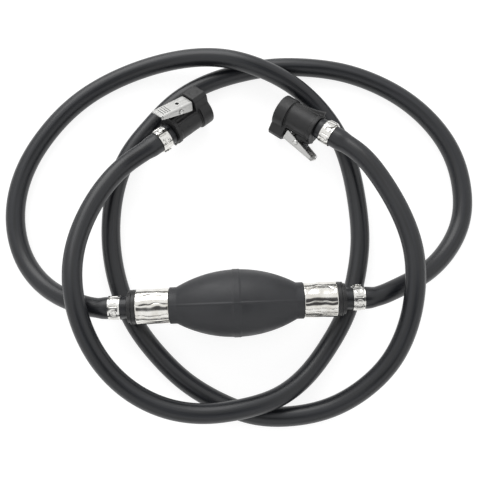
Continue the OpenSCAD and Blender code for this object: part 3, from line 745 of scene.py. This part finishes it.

# Painted shade: the pressed grip lines are darkened in the plate's colour, so they read darker than the plate
steel_tree = satin_steel.node_tree
steel_skin = steel_tree.nodes["Principled BSDF"]
steel_tone = steel_skin.inputs["Base Color"].links[0].from_socket
blank_lay = add_node(steel_tree, "ShaderNodeAttribute", attribute_name="lay")
blank_at = add_node(steel_tree, "ShaderNodeSeparateXYZ", {"Vector": blank_lay.outputs["Vector"]})
grip_from, grip_to = grip_lines[0] - 1, grip_lines[-1] + 1
along_grip = add_node(steel_tree, "ShaderNodeMapRange", {
    "Value": blank_at.outputs["Z"], "From Min": -grip_from * MM, "From Max": -grip_to * MM})
grip_line_shade = add_node(steel_tree, "ShaderNodeValToRGB", {"Fac": along_grip.outputs["Result"]})
# Painted shade: a dark grey band in the colour over each grip line, white between them
set_ramp(grip_line_shade, [
    ((line + d - grip_from) / (grip_to - grip_from), linear(colour)) for line in grip_lines
    for d, colour in ((-0.6, "#ffffff"), (-0.3, "#606060"), (0.3, "#606060"), (0.6, "#ffffff"))])
off_centre = add_node(steel_tree, "ShaderNodeMath", {0: blank_at.outputs["X"]}, operation="ABSOLUTE")
on_plate = add_node(steel_tree, "ShaderNodeMath", {0: off_centre.outputs[0], 1: grip_half * MM},
                    operation="LESS_THAN")
# The painted shade darkens the plate's colour only on the plate, within grip_half of its middle
grip_shaded_tone = add_node(steel_tree, "ShaderNodeMix", {
    0: on_plate.outputs[0], 6: steel_tone, 7: grip_line_shade.outputs["Color"]},
    data_type="RGBA", blend_type="MULTIPLY")
steel_tree.links.new(grip_shaded_tone.outputs[2], steel_skin.inputs["Base Color"])


def channel(station, part):
    """Middle surface of the folded lever. part runs from 0 at one flange's lower edge, up the flange,
    round a fold of fixed radius, over the plate and down to 5 at the other flange's lower edge; station
    is the distance behind the pivot. The flanges taper in a straight line from the nose to the thumb
    end, and their nose has a round corner. Height is about the pivot."""
    half = (lever_w - lever_t) / 2
    top = lever_rise - lever_t / 2
    fold = 0.9
    nose_round = 0.9
    taper = (station + lever_front) / (lever_rear + lever_front)
    low = -lever_skirt + (lever_rise - thumb_depth + lever_skirt) * taper
    nose = np.clip(1 - (station + lever_front) / nose_round, 0, 1)
    low = low + nose_round * (1 - np.sqrt(1 - nose ** 2))
    bottom = np.minimum(low, top - fold - 0.05)
    up_flange = bottom + (top - fold - bottom) * np.clip(part, 0, 1)
    down_flange = bottom + (top - fold - bottom) * np.clip(5 - part, 0, 1)
    turn_in = np.clip(part - 1, 0, 1) * np.pi / 2
    turn_out = np.clip(4 - part, 0, 1) * np.pi / 2
    over = np.clip(part - 2, 0, 1) * 2 - 1
    x = np.where(part < 2, -half + fold * (1 - np.cos(turn_in)),
                 np.where(part > 3, half - fold * (1 - np.cos(turn_out)), over * (half - fold)))
    y = np.where(part < 1, up_flange, np.where(part > 4, down_flange, top))
    y = np.where((part >= 1) & (part < 2), top - fold * (1 - np.sin(turn_in)), y)
    y = np.where((part > 3) & (part <= 4), top - fold * (1 - np.sin(turn_out)), y)
    return x, y


def to_lever(points, seat):
    """Points of the scene about the lever's pivot, with the lever's rest angle taken off."""
    x, y, z = np.moveaxis(local(points, seat) - (0, pivot_y, pivot_z), -1, 0)
    cosine, sine = np.cos(lever_open), np.sin(lever_open)
    return np.stack([x, y * cosine + z * sine, z * cosine - y * sine], axis=-1)


def from_lever(points, seat):
    """Points about the lever's pivot in the scene, with the lever at rest."""
    x, y, z = np.moveaxis(points, -1, 0)
    cosine, sine = np.cos(lever_open), np.sin(lever_open)
    opened = np.stack([x, pivot_y + y * cosine - z * sine, pivot_z + y * sine + z * cosine], axis=-1)
    return from_local(opened, seat)


def add_lever(name, node, seat, body):
    """A lever's sheet as one grid, with its hole's edge drawn to a circle, grip lines pressed across the
    plate and thumb corners rounded. The hole and the slits beside the folds are cut, and the sheet is
    given its thickness about its middle surface."""
    part = np.concatenate([np.linspace(0, 1, 15)[:-1], np.linspace(1, 2, 7)[:-1],
                           np.linspace(2, 3, 53)[:-1], np.linspace(3, 4, 7)[:-1],
                           np.linspace(4, 5, 15)])[:, None]
    station = np.linspace(-lever_front, lever_rear, 160)[None]
    x, y = channel(station, part)
    corner = 2.2
    beyond = np.clip(np.abs(x) - (lever_w / 2 - corner), 0, corner) / corner
    drawn_in = corner * (1 - np.sqrt(1 - beyond ** 2))
    at_thumb = np.clip((station - 8) / (lever_rear - 8), 0, 1)
    behind = station - drawn_in * at_thumb ** 2
    plate = (part > 2) & (part < 3)
    lines = sum(np.exp(-((behind - line) / grip_sharp) ** 2) for line in grip_lines)
    y = y - grip_deep * lines * np.clip((grip_half + 0.2 - np.abs(x)) / 0.5, 0, 1) * plate
    rim = 0.16
    gap = np.sqrt(x ** 2 + (behind + hole_ahead) ** 2)
    on_rim = (np.abs(gap - hole_r) < rim) & plate
    scale = np.where(on_rim, hole_r / np.maximum(gap, rim), 1)
    x = x * scale
    behind = (behind + hole_ahead) * scale - hole_ahead
    sheet = np.stack(np.broadcast_arrays(x, y, -behind), axis=2)
    drop = np.linspace(0, 1, 12)[None]
    top = lever_rise - lever_t / 2
    tongue = np.stack(np.broadcast_arrays(
        np.linspace(-tongue_w / 2, tongue_w / 2, 9)[:, None], top - (top - tongue_low) * drop,
        lever_front - lever_t / 2 - 0.1 * drop), axis=2)
    lever = add_surface(name, [from_lever(sheet, seat), from_lever(tongue, seat)], satin_steel, body,
                        sharp=40, lay=np.concatenate([sheet.reshape(-1, 3), tongue.reshape(-1, 3)]))
    centres = np.empty(3 * len(lever.data.polygons))
    lever.data.polygons.foreach_get("center", centres)
    face_x, face_y, face_z = to_lever(centres.reshape(-1, 3) / MM, seat).T
    in_hole = (np.hypot(face_x, face_z - hole_ahead) < hole_r) & (face_y > tongue_low)
    in_slit = (np.abs(face_z + slit_at) < slit_half) & (np.abs(face_x) > lever_w / 2 - 1.2)
    cut = bmesh.new()
    cut.from_mesh(lever.data)
    cut.faces.ensure_lookup_table()
    gone = [cut.faces[i] for i in np.flatnonzero(in_hole | in_slit)]
    bmesh.ops.delete(cut, geom=gone, context="FACES")
    cut.to_mesh(lever.data)
    cut.free()
    wall = lever.modifiers.new("sheet", "SOLIDIFY")
    wall.thickness = lever_t * MM
    wall.offset = 0
    deburred = lever.modifiers.new("deburred", "BEVEL")
    deburred.width = 0.12 * MM
    deburred.segments = 2
    deburred.limit_method = "ANGLE"
    deburred.angle_limit = np.radians(50)
    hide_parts(node)


add_lever("tank_folded_lever", "tank_latch_lever", tank_seat, "tank_lever")
add_lever("engine_folded_lever", "engine_latch_lever", engine_seat, "engine_lever")

# ---- Lever pins and springs ----
# A stainless pin with two domed heads holds each lever, and a small coil of music wire on the rib
# pushes its thumb end up.

pin_r = 1.25
pin_head_r = 2
pin_dome_r = 1.3
pin_edge = 0.35
pin_head_t = 0.8
pin_reach = 6.2
spring_r = 1.9
spring_wire = 0.6
spring_low = 14.6
spring_back = 29.8
spring_turns = 4
spring_gap = 0.2
coil_reach = 2.2
plate_under = 2.7

# Cold-headed stainless: bright and faintly clouded
pin_steel = finish_of("cold_headed_stainless", "#bdbdbb", "#dcdcda", (0.18, 0.3), 1.2, 0.3, 0.02,
                      metallic=1.0)
# Drawn music wire: mid grey with a light oil sheen
wire_steel = finish_of("drawn_music_wire", "#77787a", "#8f9092", (0.25, 0.4), 1.5, 0.3, 0.02,
                       metallic=1.0)

pin_half = eased([(-pin_reach - pin_head_t, 0), (-pin_reach - pin_head_t, pin_dome_r),
                  (-pin_reach - pin_edge, pin_head_r), (-pin_reach, pin_head_r),
                  (-pin_reach, pin_r)], pin_edge)
pin_line = np.vstack([pin_half, pin_half[::-1] * (-1, 1)])
for side, seat in (("tank", tank_seat), ("engine", engine_seat)):
    _, across, block, _ = seat
    pivot = from_local(np.array([0, pivot_y, pivot_z]), seat)
    pin = add_surface(side + "_domed_pin", [placed(turned(pin_line, 48), pivot, block, across)], pin_steel)
    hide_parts(side + "_lever_pin")
    low_edge = (pivot_y + plate_under * np.cos(lever_open)
                + (spring_back + pivot_z - coil_reach) * np.sin(lever_open))
    rise = low_edge - spring_gap - spring_low - spring_wire
    t = np.linspace(0, 1, 160)
    whirl = 2 * np.pi * spring_turns * t
    climb = rise * t + spring_low + spring_wire / 2
    wire_path = np.stack([spring_r * np.cos(whirl), climb, spring_r * np.sin(whirl) - spring_back], axis=1)
    wire_path = from_local(wire_path, seat)
    wire = carried(wire_path, np.full(len(t), spring_wire / 2), 12)
    caps = [np.stack([np.broadcast_to(wire_path[i], wire[i].shape), wire[i]]) for i in (0, -1)]
    coil = add_surface(side + "_lever_coil", [caps[0], wire, caps[1]], wire_steel)
    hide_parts(side + "_lever_spring")
    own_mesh(coil)

# ---- Pieces inside ----
# What the sockets and the bulb's necks hold keeps the shape of the construction and gets its finish:
# brass nipples, plastic poppets, discs, cage and seat, wire springs and rubber seals.

# Machined brass: warm, bright and faintly uneven
brass = finish_of("machined_brass", "#b08a3c", "#c9a552", (0.2, 0.34), 1.5, 0.25, 0.02, metallic=1.0)
# Natural acetal: milky, dense and slightly waxy
natural_acetal = finish_of("natural_acetal", "#ddd6c2", "#e8e2d2", (0.35, 0.5), 3, 0.4, 0.02)
# Moulded fluorocarbon rubber: deep black with a fresh, slightly greasy sheen
seal_rubber = finish_of("moulded_fluorocarbon_rubber", "#0c0c0d", "#161617", (0.3, 0.45), 2, 0.3, 0.02)

for suffix, finish in (("_hose_nipple", brass), ("_valve_poppet", natural_acetal),
                       ("_valve_disc", natural_acetal), ("_valve_cage", natural_acetal),
                       ("_valve_seat", natural_acetal),
                       ("_valve_spring", wire_steel), ("_fuel_seal", seal_rubber)):
    for name, node in nodes.items():
        if name.endswith(suffix):
            for material_slot in node.material_slots:
                material_slot.material = finish

bpy.context.view_layer.update()
